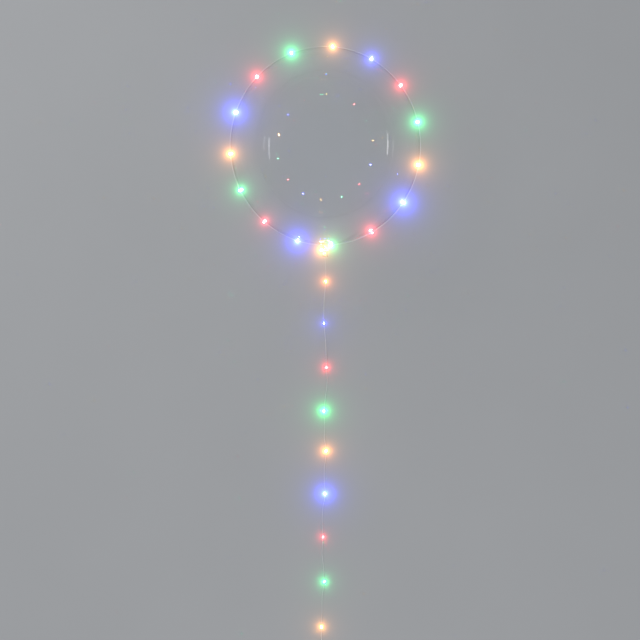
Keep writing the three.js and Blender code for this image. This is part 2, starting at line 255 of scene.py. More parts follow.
def make_mottle_group():
    """Soft noise: a colour between two, a value between two and the plain noise as a height."""
    group, source, sink = new_group(
        "mottle",
        [
            ("Vector", "NodeSocketVector", (0, 0, 0)),
            ("Scale", "NodeSocketFloat", 100.0),
            ("Detail", "NodeSocketFloat", 3.0),
            ("Dark", "NodeSocketColor", (0, 0, 0, 1)),
            ("Light", "NodeSocketColor", (1, 1, 1, 1)),
            ("Low", "NodeSocketFloat", 0.2),
            ("High", "NodeSocketFloat", 0.5),
        ],
        [("Color", "NodeSocketColor"), ("Value", "NodeSocketFloat"), ("Height", "NodeSocketFloat")],
    )
    noise = group.nodes.new("ShaderNodeTexNoise")
    for name in ("Vector", "Scale", "Detail"):
        group.links.new(source.outputs[name], noise.inputs[name])
    height = noise.outputs["Fac"]
    mix = group.nodes.new("ShaderNodeMix")
    mix.data_type = "RGBA"
    first_colour, second_colour, mixed_colour = mix.inputs[6], mix.inputs[7], mix.outputs[2]
    group.links.new(height, mix.inputs["Factor"])
    group.links.new(source.outputs["Dark"], first_colour)
    group.links.new(source.outputs["Light"], second_colour)
    between = group.nodes.new("ShaderNodeMapRange")
    group.links.new(height, between.inputs["Value"])
    group.links.new(source.outputs["Low"], between.inputs["To Min"])
    group.links.new(source.outputs["High"], between.inputs["To Max"])
    group.links.new(mixed_colour, sink.inputs["Color"])
    group.links.new(between.outputs["Result"], sink.inputs["Value"])
    group.links.new(height, sink.inputs["Height"])
    return group


MOTTLE = make_mottle_group()


def shader(name, **values):
    """A new material and its Principled shader, with plain values on the shader's own sockets."""
    material = bpy.data.materials.new(name)
    material.use_nodes = True
    principled = material.node_tree.nodes["Principled BSDF"]
    for socket, value in values.items():
        principled.inputs[socket.replace("_", " ")].default_value = value
    return material, principled


def add_mottle(tree, stretch=(1, 1, 1), **values):
    """One placing of the soft noise, on Object coordinates that a Mapping node stretches along the axes."""
    place = tree.nodes.new("ShaderNodeTexCoord")
    mapping = tree.nodes.new("ShaderNodeMapping")
    mapping.inputs["Scale"].default_value = stretch
    tree.links.new(place.outputs["Object"], mapping.inputs["Vector"])
    node = tree.nodes.new("ShaderNodeGroup")
    node.node_tree = MOTTLE
    tree.links.new(mapping.outputs["Vector"], node.inputs["Vector"])
    for socket, value in values.items():
        node.inputs[socket].default_value = value
    return node


def add_relief(tree, mottle, principled, strength, distance):
    """The soft noise as the shader's fine relief."""
    bump = tree.nodes.new("ShaderNodeBump")
    bump.inputs["Strength"].default_value = strength
    bump.inputs["Distance"].default_value = distance
    tree.links.new(mottle.outputs["Height"], bump.inputs["Height"])
    tree.links.new(bump.outputs["Normal"], principled.inputs["Normal"])


def mottled(name, dark, light, rough, scale, relief, stretch=(1, 1, 1), **values):
    """A solid finish whose colour, roughness and fine relief all follow soft noise."""
    material, principled = shader(name, **values)
    tree = material.node_tree
    node = add_mottle(
        tree, stretch, Scale=scale, Dark=(*dark, 1), Light=(*light, 1), Low=rough[0], High=rough[1]
    )
    tree.links.new(node.outputs["Color"], principled.inputs["Base Color"])
    tree.links.new(node.outputs["Value"], principled.inputs["Roughness"])
    add_relief(tree, node, principled, *relief)
    return material


def leave_to_lamps(material):
    """Light that this finish sends out is seen, but isn't looked for as a source: the lamps beside the lights
    do that work."""
    material.cycles.emission_sampling = "NONE"


def let_light_through(material):
    """Lets shadow and diffuse rays pass a clear surface straight, so that light falls through it with hardly
    any shadow. One Mix Shader for each kind of ray, the second after the first."""
    tree = material.node_tree
    path = tree.nodes.new("ShaderNodeLightPath")
    clear = tree.nodes.new("ShaderNodeBsdfTransparent")
    clear.inputs["Color"].default_value = (0.97, 0.975, 0.98, 1)
    surface = tree.nodes["Principled BSDF"].outputs["BSDF"]
    for ray in ("Is Shadow Ray", "Is Diffuse Ray"):
        mix = tree.nodes.new("ShaderNodeMixShader")
        tree.links.new(path.outputs[ray], mix.inputs[0])
        tree.links.new(surface, mix.inputs[1])
        tree.links.new(clear.outputs["BSDF"], mix.inputs[2])
        surface = mix.outputs["Shader"]
    tree.links.new(surface, tree.nodes["Material Output"].inputs["Surface"])


def make_film():
    """Clear stretched film: smooth, with faint streaks of haze that run along the neck's axis."""
    material, principled = shader(
        "clear_film",
        Base_Color=(0.985, 0.99, 0.995, 1),
        Metallic=0.0,
        IOR=1.46,
        Transmission_Weight=1.0,
    )
    tree = material.node_tree
    streaks = add_mottle(tree, stretch=(70, 5, 70), Scale=1.0, Detail=4.0, Low=0.02, High=0.055)
    tree.links.new(streaks.outputs["Value"], principled.inputs["Roughness"])
    add_relief(tree, streaks, principled, strength=0.18, distance=0.0004)
    let_light_through(material)
    return material


def make_drop(colour):
    """Clear resin, lit from inside, with a little haze."""
    glow, tint = LIGHTS[colour]
    material, principled = shader(
        f"drop_{colour}",
        Base_Color=(*tint, 1),
        Metallic=0.0,
        IOR=1.5,
        Transmission_Weight=0.8,
        Emission_Color=(*glow, 1),
        Emission_Strength=DROP_GLOW,
    )
    tree = material.node_tree
    haze = add_mottle(tree, Scale=900.0, Low=0.02, High=0.22)
    tree.links.new(haze.outputs["Value"], principled.inputs["Roughness"])
    add_relief(tree, haze, principled, strength=0.15, distance=0.0002)
    let_light_through(material)
    leave_to_lamps(material)
    return material


def make_chip(colour):
    """The lit chip, slightly paler in patches."""
    glow = LIGHTS[colour][0]
    pale = tuple(0.02 + 0.98 * c for c in glow)
    material, principled = shader(
        f"chip_{colour}",
        Base_Color=(0.9, 0.9, 0.85, 1),
        Emission_Strength=CHIP_GLOW[colour],
    )
    tree = material.node_tree
    patches = add_mottle(tree, Scale=2500.0, Dark=(*glow, 1), Light=(*pale, 1))
    tree.links.new(patches.outputs["Color"], principled.inputs["Emission Color"])
    leave_to_lamps(material)
    return material


# Relief is a strength and a distance in metres, rough the lowest and the highest roughness
FILM = make_film()
WIRE = mottled(
    "lacquered_wire",
    dark=(0.9, 0.905, 0.91),
    light=(1.0, 1.0, 1.0),
    rough=(0.25, 0.45),
    scale=700.0,
    relief=(0.2, 0.0001),
    Metallic=0.35,
    Coat_Weight=0.6,
)
BOX = mottled(
    "moulded_white_plastic",
    dark=(0.74, 0.74, 0.73),
    light=(0.84, 0.84, 0.83),
    rough=(0.34, 0.5),
    scale=1400.0,
    relief=(0.25, 0.00008),
    Metallic=0.0,
)
TIE = mottled(
    "white_band",
    dark=(0.78, 0.78, 0.77),
    light=(0.9, 0.9, 0.89),
    rough=(0.38, 0.55),
    scale=900.0,
    relief=(0.2, 0.0001),
    Metallic=0.0,
)
SCREW = mottled(
    "turned_steel",
    dark=(0.46, 0.47, 0.49),
    light=(0.72, 0.73, 0.75),
    rough=(0.2, 0.42),
    scale=1100.0,
    relief=(0.2, 0.00005),
    stretch=(1, 6, 1),
    Metallic=1.0,
)
FLOOR = mottled(
    "pale_floor",
    dark=(0.49, 0.495, 0.50),
    light=(0.52, 0.525, 0.53),
    rough=(0.5, 0.62),
    scale=3.0,
    relief=(0.02, 0.001),
    Metallic=0.0,
    Specular_IOR_Level=0.0,
)
DROPS = {colour: make_drop(colour) for colour in LIGHTS}
CHIPS = {colour: make_chip(colour) for colour in LIGHTS}


# Surfaces from whole arrays


def add_mesh(name, points, faces, materials, face_slots=None, smooth=True):
    """A mesh object at the origin from an array of points and a list of faces."""
    mesh = bpy.data.meshes.new(name)
    mesh.from_pydata(np.asarray(points).tolist(), [], faces)
    for material in materials:
        mesh.materials.append(material)
    if face_slots is not None:
        mesh.polygons.foreach_set("material_index", np.asarray(face_slots, dtype=np.int32))
    mesh.polygons.foreach_set("use_smooth", np.full(len(faces), smooth))
    mesh.update()
    piece = bpy.data.objects.new(name, mesh)
    bpy.context.collection.objects.link(piece)
    return piece


def quads(rows, columns):
    """Faces of a grid of points whose columns close round."""
    row, column = np.meshgrid(np.arange(rows - 1), np.arange(columns), indexing="ij")
    here = row * columns
    above = (row + 1) * columns
    beside = (column + 1) % columns
    corners = [here + column, here + beside, above + beside, above + column]
    return np.stack(corners, axis=-1).reshape(-1, 4).tolist()


def fan(ring_start, columns, pole, flip=False):
    """Triangles from one ring of points to a pole."""
    here = np.arange(columns)
    beside = (here + 1) % columns
    corners = [ring_start + here, np.full(columns, pole), ring_start + beside]
    if flip:
        corners = corners[::-1]
    return np.stack(corners, axis=-1).tolist()


def closed_rows(rows, first_pole, last_pole, clockwise=False):
    """Points and faces of a stack of closed rings with a pole at each end. They face outwards where the rings
    run counter-clockwise with the first pole below, and are turned over for rings that run clockwise."""
    count, columns = rows.shape[:2]
    points = np.vstack([rows.reshape(-1, 3), [first_pole], [last_pole]])
    faces = quads(count, columns)
    faces += fan(0, columns, count * columns)
    faces += fan((count - 1) * columns, columns, count * columns + 1, flip=True)
    if clockwise:
        faces = [face[::-1] for face in faces]
    return points, faces


def add_parts(name, parts, finishes):
    """One mesh from several closed surfaces, with one finish for all of them or one for each."""
    points, faces, slots = [], [], []
    count = 0
    for i, (part_points, part_faces) in enumerate(parts):
        points.append(part_points)
        faces += [tuple(corner + count for corner in face) for face in part_faces]
        slots += [min(i, len(finishes) - 1)] * len(part_faces)
        count += len(part_points)
    return add_mesh(name, np.vstack(points), faces, finishes, slots)


def carry(piece):
    """Makes a finished piece ride with the part."""
    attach(piece, "root")
    return piece


# Lines and wires


def smooth_route(points, per_stretch):
    """A smooth curve through all the points: between two points a cubic whose end slopes weigh the chords on
    either side by the square roots of their lengths. The two ends carry on straight."""
    points = np.asarray(points, dtype=float)
    held = np.vstack([2 * points[0] - points[1], points, 2 * points[-1] - points[-2]])
    chord = np.sqrt(np.linalg.norm(np.diff(held, axis=0), axis=1))[:, None]
    before, here, after = chord[:-2], chord[1:-1], chord[2:]
    a, b, c, d = held[:-3], held[1:-2], held[2:-1], held[3:]
    slope_b = here * ((b - a) / before - (c - a) / (before + here) + (c - b) / here)
    slope_c = here * ((c - b) / here - (d - b) / (here + after) + (d - c) / after)
    t = (np.arange(per_stretch) / per_stretch)[None, :, None]
    b, c, slope_b, slope_c = (x[:, None, :] for x in (b, c, slope_b, slope_c))
    curve = (
        b * (2 * t**3 - 3 * t**2 + 1)
        + slope_b * (t**3 - 2 * t**2 + t)
        + c * (3 * t**2 - 2 * t**3)
        + slope_c * (t**3 - t**2)
    )
    return np.vstack([curve.reshape(-1, 3), points[-1:]])


def walked(path):
    """The length along a line from its start to each of its points."""
    return np.concatenate([[0], np.cumsum(np.linalg.norm(np.diff(path, axis=0), axis=1))])


def evenly(path, step):
    """The same line, with its points a step apart along it."""
    along = walked(path)
    places = np.linspace(0, along[-1], max(2, int(round(along[-1] / step)) + 1))
    return np.stack([np.interp(places, along, path[:, i]) for i in range(3)], axis=1)


def add_wire(name, path, up, sides=12):
    """Two fine lacquered strands side by side, slowly twisted: at each point of the path a section square to
    it, whose radius runs from thick on the strands to thin between them as a squared cosine of the angle,
    turned by the length walked. Both ends are closed."""
    heading = unit(np.gradient(path, axis=0))
    side = unit(np.cross(heading, np.asarray(up, dtype=float)))
    rise = np.cross(side, heading)
    angle = TURN * np.arange(sides) / sides
    radius = WIRE_RADIUS * (1 - STRAND_DIP + STRAND_DIP * np.cos(angle) ** 2)
    turned = angle[None, :] + TURN * walked(path)[:, None] / TWIST_LENGTH
    offsets = (
        side[:, None, :] * (radius * np.cos(turned))[..., None]
        + rise[:, None, :] * (radius * np.sin(turned))[..., None]
    )
    return add_parts(name, [closed_rows(path[:, None, :] + offsets, path[0], path[-1])], [WIRE])


# The loose wire: down from the neck, along the floor, round the coil and into the battery box


def coil_turns(centre, floor):
    """Eight turns in three layers, by the layout's rows. From row to row the radius and the layer change as a
    smooth step over a third of a turn, late in the turn before, but early in the last turn for the last row.
    The wire isn't kept clear of itself: turns cut into each other in the steps, and the top layer's two turns
    share one place for a sixth of a turn."""
    steps = 48
    step_length, late, early = 0.32, -0.42, 0.06
    mean = extent("light_wire_coil")[0] / 2 - extent("coil_tie")[0] / 2 + 2 * GAP + TIE_THICKNESS
    turn = np.arange(len(COIL_LAYOUT) * steps + 1) / steps
    radius = np.full(turn.shape, mean + WIRE_ACROSS * COIL_LAYOUT[0][0])
    layer = np.zeros(turn.shape)
    for i in range(1, len(COIL_LAYOUT)):
        start = i + (early if i == len(COIL_LAYOUT) - 1 else late)
        share = np.clip((turn - start) / step_length, 0, 1)
        ease = share * share * (3 - 2 * share)
        radius += ease * WIRE_ACROSS * (COIL_LAYOUT[i][0] - COIL_LAYOUT[i - 1][0])
        layer += ease * (COIL_LAYOUT[i][1] - COIL_LAYOUT[i - 1][1])
    angle = math.pi + TURN * turn
    height = floor + WIRE_RADIUS + 2 * GAP / 3 + layer * WIRE_ACROSS
    return np.stack([centre[0] + radius * np.cos(angle), centre[1] + radius * np.sin(angle), height], axis=1)


def loose_wire_path():
    """The route's listed points, the coil's turns and the short lead, as one line."""
    fall = BALL_HEIGHT - BESIDE_TURNS - BEAD_RADIUS
    lying_height = WIRE_RADIUS + WIRE_LIFT
    hanging = [(x, NECK_MIDDLE[1] - out, BEAD_RADIUS + share * fall) for x, out, share in HANGING_ROUTE]
    lying = [
        (x, NECK_MIDDLE[1] - out, BEAD_RADIUS if bead else lying_height)
        for x, out, bead in LYING_ROUTE
    ]
    turns = coil_turns(middle("light_wire_coil"), box_corners("light_wire_coil")[0][2])
    out_of_coil = turns[-1]
    run = out_of_coil[1] - box_corners("battery_box_case")[1][1]
    lead = [
        out_of_coil + np.array([0, -run * share, height - out_of_coil[2]])
        for share, height in LEAD_ROUTE
    ]
    end = np.array([out_of_coil[0], box_corners("light_wire_lead")[0][1] - LEAD_INSIDE, SLEEVE_HEIGHT])
    # The route is drawn on to the coil's fifth point, for its slope there, and then cut at the coil's start
    steps = 12
    open_run = smooth_route([*hanging, *lying, turns[0], turns[4]], steps)[:-steps]
    lead_run = smooth_route([out_of_coil, *lead, end], 8)
    return evenly(np.vstack([open_run, turns[1:-1], lead_run]), LOOSE_WIRE_STEP)


loose_path = loose_wire_path()
wire_end = loose_path[-1]
loose_wire = add_wire("loose_wire", loose_path, (0, 0, 1))
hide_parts("light_wire_trail", "light_wire_coil", "light_wire_lead")
carry(loose_wire)


# The film bag


def film_place(radius):
    """The film's place along the neck's axis at a radius from it, on the neck's side: an ellipse, and nearer
    the neck than the gather's edge an elliptic fillet that turns it into the neck."""
    on_ball = -BALL_HALF_LENGTH * np.sqrt(1 - (radius / BALL_RADIUS) ** 2)
    inward = np.clip((GATHER_RADIUS - radius) / (GATHER_RADIUS - NECK_RADIUS), 0, 1)
    return on_ball - GATHER_LENGTH * (1 - np.sqrt(1 - inward**2))


def film_profile():
    """Each ring's radius and its place along the neck's axis, from the tail's edge to the ball's far side: a
    tail that flares as a power of the way along it, a straight neck, the gather's fillet and an ellipse."""
    tail = np.linspace(1, 0, 9)
    fillet_turn = np.linspace(0, math.pi / 2, 12)[:-1]
    gather = GATHER_RADIUS - (GATHER_RADIUS - NECK_RADIUS) * np.cos(fillet_turn)
    ball = BALL_RADIUS - GAP
    polar = np.linspace(math.asin(GATHER_RADIUS / ball), math.pi, 110)[:-1]
    radius = [
        NECK_RADIUS + (TAIL_RADIUS - NECK_RADIUS) * tail**1.3,
        [NECK_RADIUS],
        gather,
        ball * np.sin(polar),
    ]
    place = [
        NECK_START - NECK_LENGTH - TAIL_LENGTH * tail,
        [NECK_START - NECK_LENGTH / 2],
        film_place(gather),
        -BALL_HALF_LENGTH * np.cos(polar),
    ]
    return np.concatenate(radius), np.concatenate(place)


def add_film():
    """The ball, neck and tail as one surface turned about the neck's axis. Pleats take a share of the radius
    that is one less a sum of three cosines of the angle, and fade as an exponential of the distance from the
    neck. The tail is flattened by the squared sine of the angle, waved by a cosine of it and drawn along the
    axis by a sine of it. The underside is pressed softly on the floor: each height becomes half the sum of
    itself and the root of its square and a small square."""
    columns = 168
    angle = TURN * np.arange(columns) / columns
    radius, place = film_profile()
    ruffled = np.clip((NECK_START - NECK_LENGTH - place) / TAIL_LENGTH, 0, 1)
    pleats = 0.55 * np.cos(14 * angle) + 0.3 * np.cos(23 * angle + 1.3) + 0.15 * np.cos(9 * angle + 0.4)
    depth = PLEAT_DEPTH * np.exp(-np.maximum(place - NECK_START, 0) / PLEAT_FADE) * (1 - 0.55 * ruffled)
    pleated = 1 - depth[:, None] * (1 - pleats)[None, :]
    flattened = 1 - 0.62 * ruffled[:, None] * np.sin(angle)[None, :] ** 2
    waved = 1 - ruffled[:, None] * 0.12 * (1 + np.cos(7 * angle))[None, :]
    spread = radius[:, None] * pleated * flattened * waved
    x = spread * np.cos(angle)[None, :]
    y = place[:, None] + ruffled[:, None] * 0.0012 * (1 - np.sin(3 * angle + 0.8))[None, :]
    z = spread * np.sin(angle)[None, :] + BALL_HEIGHT
    pressed = 0.5 * (z + np.sqrt(z * z + PRESS_SOFTNESS**2))
    rings = np.stack([x, y, pressed], axis=-1).reshape(-1, 3)
    points = np.vstack([rings, [[0, BALL_HALF_LENGTH, BALL_HEIGHT]]])
    rows = len(radius)
    faces = [face[::-1] for face in quads(rows, columns)]
    faces += fan((rows - 1) * columns, columns, rows * columns)
    film = add_mesh("balloon_film", points, faces, [FILM])
    wall = film.modifiers.new("wall", "SOLIDIFY")
    wall.thickness = FILM_THICKNESS
    wall.offset = -1
    return film


film = add_film()
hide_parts("balloon")
carry(film)


# The ring of wire on the film, and its turns round the neck


def ring_points(angle, clear):
    """Points round the film in the level plane, by the angle from the neck: out on the ellipse's radius plus
    the clearance, gathered near the neck as the film is, with a slight wander out of the plane."""
    sideways = np.sin(angle)
    back = -np.cos(angle)
    ellipse = 1 / np.hypot(sideways / BALL_RADIUS, back / BALL_HALF_LENGTH)
    radius = np.abs(ellipse * sideways)
    near = (back < 0) & (radius < GATHER_RADIUS)
    gathered = np.where(near, film_place(radius) - ellipse * back, 0)
    wander = RING_WANDER * np.sin(RING_WAVES * angle) * np.abs(np.sin(angle / 2))
    out = ellipse + clear
    return np.stack([out * sideways, out * back + gathered, BALL_HEIGHT + wander], axis=-1)


def ring_path():
    """From the neck's turns up on to the film, round it and back beside the neck. The wire lies on the film
    and rises to each bead's middle as a bell curve of the distance to it. Past the last bead on the film it
    keeps to the film for three quarters of the angle that is left."""
    places = np.array([middle(node) for node in RING_NODES])
    end_bead = places[-1]
    half_bead = BEAD_LENGTH / 2 + GAP
    bead_angles = np.mod(np.arctan2(places[:-1, 0], -places[:-1, 1]), TURN)
    last_angle = bead_angles[-1] + (TURN - bead_angles[-1]) * 0.75
    angle = np.linspace(bead_angles[0] - half_bead / BALL_RADIUS, last_angle, 900)
    distance = np.min(np.abs(angle[:, None] - bead_angles[None, :]), axis=1) * BALL_RADIUS
    rise = np.exp(-((distance / RISE_REACH) ** 2))
    clear = WIRE_RADIUS + (GAP + BEAD_RADIUS - WIRE_RADIUS) * rise
    start = [
        (BESIDE_TURNS, NECK_MIDDLE[1], BALL_HEIGHT),
        (BESIDE_TURNS + WIRE_ACROSS, NECK_START + 2 * GAP, BALL_HEIGHT),
    ]
    along = np.array([0, half_bead, 0])
    path = np.vstack([start, ring_points(angle, clear), [end_bead + along, end_bead, end_bead - along]])
    return evenly(smooth_route(path, 4), RING_WIRE_STEP)


ring_route = ring_path()
ring_wire = add_wire("ring_wire", ring_route, (0, 0, 1))
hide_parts("light_wire_ring")
carry(ring_wire)


def neck_turns_path():
    """Three turns about the neck's axis, which move on by two wires' width in all, so that neighbours sink
    into each other by up to a third of their width."""
    steps = 40
    turn = np.arange(NECK_TURNS * steps + 1) / steps
    angle = TURN * turn
    radius = NECK_RADIUS + GAP + WIRE_RADIUS
    place = NECK_MIDDLE[1] + WIRE_ACROSS * (1 - turn * 2 / NECK_TURNS)
    return np.stack([radius * np.cos(angle), place, BALL_HEIGHT + radius * np.sin(angle)], axis=1)


neck_turns = add_wire("neck_turns", neck_turns_path(), (0, 1, 0))
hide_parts("neck_wire_turns")
carry(neck_turns)


# The lights


def add_light_bead(node, path):
    """A drop of resin on the wire with its chip inside, both turned about the wire's line. Their radius is a
    power of one less the square of the place along them, a lower power for the chip, which makes it squarer.
    The drop's underside is drawn in a little, by one less the sine of the angle."""
    _, stretch, number, colour = node.split("_")
    chip = CHIP_SHARES[stretch][int(number) - 1]
    centre = middle(node)
    nearest = int(np.argmin(np.linalg.norm(path - centre, axis=1)))
    along = unit(path[min(nearest + 1, len(path) - 1)] - path[max(nearest - 1, 0)])
    side = unit(np.cross(along, np.array([0, 0, 1.0])))
    rise = np.cross(side, along)
    sides, rows = 20, 13
    angle = TURN * np.arange(sides) / sides
    share = -np.cos(math.pi * np.arange(1, rows + 1) / (rows + 1))
    shells = []
    for length, radius, power, drawn_in in (
        (BEAD_LENGTH, BEAD_RADIUS, 0.42, 0.06),
        (CHIP_LENGTH * chip, CHIP_RADIUS * chip, 0.3, 0.0),
    ):
        width = radius * (1 - share**2) ** power
        spread = width[:, None] * (1 + drawn_in * np.sin(angle)[None, :] - drawn_in)
        rings = (
            centre
            + along * (share * length / 2)[:, None, None]
            + side * (spread * np.cos(angle))[..., None]
            + rise * (spread * np.sin(angle))[..., None]
        )
        half = along * length / 2
        shells.append(closed_rows(rings, centre - half, centre + half, clockwise=True))
    bead = add_parts("bead_" + node.removeprefix("light_"), shells, [DROPS[colour], CHIPS[colour]])
    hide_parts(node)
    # Dull surfaces aren't lit by the drop itself; the lamps of the loose wire colour the floor
    bead.visible_diffuse = False
    carry(bead)
    return bead, centre, colour


ring_lights = [add_light_bead(node, ring_route) for node in RING_NODES]
trail_lights = [add_light_bead(node, loose_path) for node in TRAIL_NODES]


# The tie round the coil and the battery box


def rounded_rows(half, corner, levels, per_corner=7):
    """Level rings round a rectangle with rounded corners: each corner is a quarter circle about its own
    centre, and each ring is the outline moved inwards by its inset, at its height."""
    quarter = np.linspace(0, math.pi / 2, per_corner)
    angle = (quarter[None, :] + math.pi / 2 * np.arange(4)[:, None]).ravel()
    away = np.repeat(np.array([[1, 1], [-1, 1], [-1, -1], [1, -1]]), per_corner, axis=0)
    corners = away * (np.array(half) - corner)
    round_off = np.stack([np.cos(angle), np.sin(angle)], axis=1)
    inset = np.array([level[0] for level in levels])[:, None, None]
    height = np.array([level[1] for level in levels])
    flat = corners + round_off * np.maximum(corner - inset, 0) - away * np.maximum(inset - corner, 0)
    return np.concatenate([flat, np.broadcast_to(height[:, None, None], (*flat.shape[:2], 1))], axis=2)


def fillet(inset, height, radius, start, steps=4):
    """Levels along a quarter circle about a point, from a starting angle."""
    angle = start + np.linspace(0, math.pi / 2, steps)
    return [(inset - radius * math.cos(a), height + radius * math.sin(a)) for a in angle]


CASE_HIGH = box_corners("battery_box_case")[1]
LID_LOW, LID_HIGH = box_corners("battery_box_lid")
BOX_MIDDLE = (LID_LOW + LID_HIGH) / 2
BOX_HALF = ((LID_HIGH - LID_LOW) / 2)[:2]


def box_shell(levels, first_height, last_height):
    """A closed surface over the box's outline, from its middle at one height to its middle at another."""
    rows = rounded_rows(BOX_HALF, BOX_CORNER, levels)
    rows[..., :2] += BOX_MIDDLE[:2]
    return closed_rows(rows, (*BOX_MIDDLE[:2], first_height), (*BOX_MIDDLE[:2], last_height))


def wire_sleeve():
    """A sleeve round the wire, whose radius falls evenly along it, less three shallow grooves that are one
    less a cosine of the way, and is drawn in at its mouth."""
    columns, mouth = 24, 0.86
    run = np.linspace(0, 1, 22)
    length = CASE_HIGH[1] - LID_HIGH[1] + BOX_WALL / 2
    groove = SLEEVE_GROOVE_DEPTH * (1 - np.cos(TURN * SLEEVE_GROOVES * run))
    radius = SLEEVE_RADIUS * (1 - SLEEVE_TAPER * run) - groove
    radius[-1] *= mouth
    place = LID_HIGH[1] - BOX_WALL / 2 + length * run
    angle = TURN * np.arange(columns) / columns
    rows = np.stack(
        [
            wire_end[0] - radius[:, None] * np.cos(angle),
            np.repeat(place[:, None], columns, axis=1),
            wire_end[2] + radius[:, None] * np.sin(angle),
        ],
        axis=-1,
    )
    return closed_rows(rows, *((wire_end[0], place[i], wire_end[2]) for i in (0, -1)))


def add_case():
    """An open box, one surface from the middle of its underside out, up, over the rim and down to the middle
    of its inner floor, with rounded turns and slightly tapered walls; and the wire's sleeve."""
    top = CASE_HIGH[2]
    low_edge, rim, inner_edge, taper = 0.0012, 0.0004, 0.001, 0.00025
    inside = BOX_WALL + taper
    levels = [
        (0.006, 0),
        (0.003, 0),
        *fillet(low_edge + taper, low_edge, low_edge, -math.pi / 2),
        (taper / 2, top / 2),
        *fillet(rim, top - rim, rim, 0),
        (BOX_WALL - rim / 2, top),
        (BOX_WALL, top - rim),
        (inside, BOX_WALL + inner_edge),
        (inside + inner_edge * 0.3, BOX_WALL + inner_edge * 0.3),
        (inside + inner_edge, BOX_WALL),
        (0.007, BOX_WALL),
    ]
    return add_parts("battery_case", [box_shell(levels, 0, BOX_WALL), wire_sleeve()], [BOX])


def grip_rib(centre, half):
    """A low rounded bar: a half ellipsoid whose outline is a squarish oval."""
    angle = TURN * np.arange(28) / 28
    reach = (np.abs(np.cos(angle)) ** 4 + np.abs(np.sin(angle)) ** 4) ** -0.25
    rise = np.linspace(0, math.pi / 2, 6)[:-1]
    x = half[0] * np.cos(rise)[:, None] * (reach * np.cos(angle))[None, :]
    y = half[1] * np.cos(rise)[:, None] * (reach * np.sin(angle))[None, :]
    z = np.broadcast_to(half[2] * np.sin(rise)[:, None], x.shape)
    rows = np.stack([x, y, z], axis=-1) + np.array(centre)
    return closed_rows(rows, centre, (centre[0], centre[1], centre[2] + half[2]))


def add_lid():
    """A slab with rounded upper edges over a lip that sits inside the case, and low ribs to push it by."""
    low, top = LID_LOW[2], LID_HIGH[2]
    seat = top - LID_THICKNESS
    edge, chamfer, lip_edge = 0.0007, 0.0003, 0.0002
    lip = [
        (0.0052, seat),
        (0.0034, seat),
        (0.0033, low),
        (0.0023, low),
        (0.0021, low + lip_edge),
        (0.0021, seat),
    ]
    slab = [
        (chamfer, seat),
        (0.0, seat + chamfer),
        *fillet(edge, top - edge, edge, 0, steps=5),
        (0.002, top),
        (0.006, top),
    ]
    first_place = BOX_MIDDLE[1] + FIRST_RIB
    ribs = [
        grip_rib((BOX_MIDDLE[0], first_place + RIB_PITCH * i, top - RIB_SUNK), RIB_HALF_SIZE)
        for i in range(RIB_COUNT)
    ]
    return add_parts("battery_lid", [box_shell([*lip, *slab], seat, top), *ribs], [BOX])


def add_screw():
    """A domed head with a cross recess: its height falls as the fourth power of the radius, and drops by half
    a millimetre near its middle where either coordinate is small, with soft edges."""
    edge, recess_depth = 0.0003, 0.0005
    arm_half_width, arm_softness = 0.00036, 0.00006
    recess_radius, recess_softness = 0.0015, 0.00008
    centre = middle("battery_box_screw")
    radius = extent("battery_box_screw")[0] / 2
    base, top = LID_HIGH[2], box_corners("battery_box_screw")[1][2]
    across = radius * np.sin(np.linspace(math.pi / 2, 0, 20)[:-1])
    angle = TURN * np.arange(72) / 72
    x = across[:, None] * np.cos(angle)[None, :]
    y = across[:, None] * np.sin(angle)[None, :]
    arms = 1 / (1 + np.exp((np.minimum(np.abs(x), np.abs(y)) - arm_half_width) / arm_softness))
    inside = 1 / (1 + np.exp((np.hypot(x, y) - recess_radius) / recess_softness))
    dome = base + edge + (top - base - edge) * (1 - (np.hypot(x, y) / radius) ** 4)
    head = np.stack([x + centre[0], y + centre[1], dome - recess_depth * arms * inside], axis=-1)
    foot = head[:1].copy()
    foot[..., 2] = base
    rows = np.concatenate([foot, head])
    ends = [(centre[0], centre[1], height) for height in (base, top - recess_depth)]
    return add_parts("battery_screw", [closed_rows(rows, *ends)], [SCREW])


def add_tie():
    """A narrow band carried round a rounded rectangle: a flat oval section, thicker along its middle where
    its core runs, closed in both directions."""
    inset, corner, core_reach = 0.0003, 0.0016, 0.0004
    thin, core_extra = 0.00016, 0.00012
    half = extent("coil_tie") / 2
    section = TURN * np.arange(20) / 20
    width = half[1] * np.cos(section)
    core = np.exp(-((width / core_reach) ** 2))
    depth = (thin + core_extra * core) * np.sign(np.sin(section)) * np.abs(np.sin(section)) ** 0.5
    loop = rounded_rows((half[0] - inset, half[2] - inset), corner, [(0, 0)], per_corner=9)[0, :, :2]
    inner = half[[0, 2]] - (inset + corner)
    outward = unit(loop - np.clip(loop, -inner, inner))
    around = loop[:, None, :] + outward[:, None, :] * depth[None, :, None]
    across = np.broadcast_to(width[None, :], around.shape[:2])
    rows = np.stack([around[..., 0], across, around[..., 1]], axis=-1) + middle("coil_tie")
    count, columns = rows.shape[:2]
    last = (count - 1) * columns
    here = np.arange(columns)
    beside = (here + 1) % columns
    faces = quads(count, columns)
    faces += np.stack([last + here, last + beside, beside, here], axis=-1).tolist()
    return add_mesh("coil_band", rows.reshape(-1, 3), faces, [TIE])


cord_pieces = [bead for bead, _, _ in trail_lights]
for made, node, slot in (
    (add_case(), "battery_box_case", "box"),
    (add_lid(), "battery_box_lid", "box"),
    (add_screw(), "battery_box_screw", "screw"),
    (add_tie(), "coil_tie", "tie"),
):
    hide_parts(node)
    cord_pieces.append(carry(made))


# The floor and the light


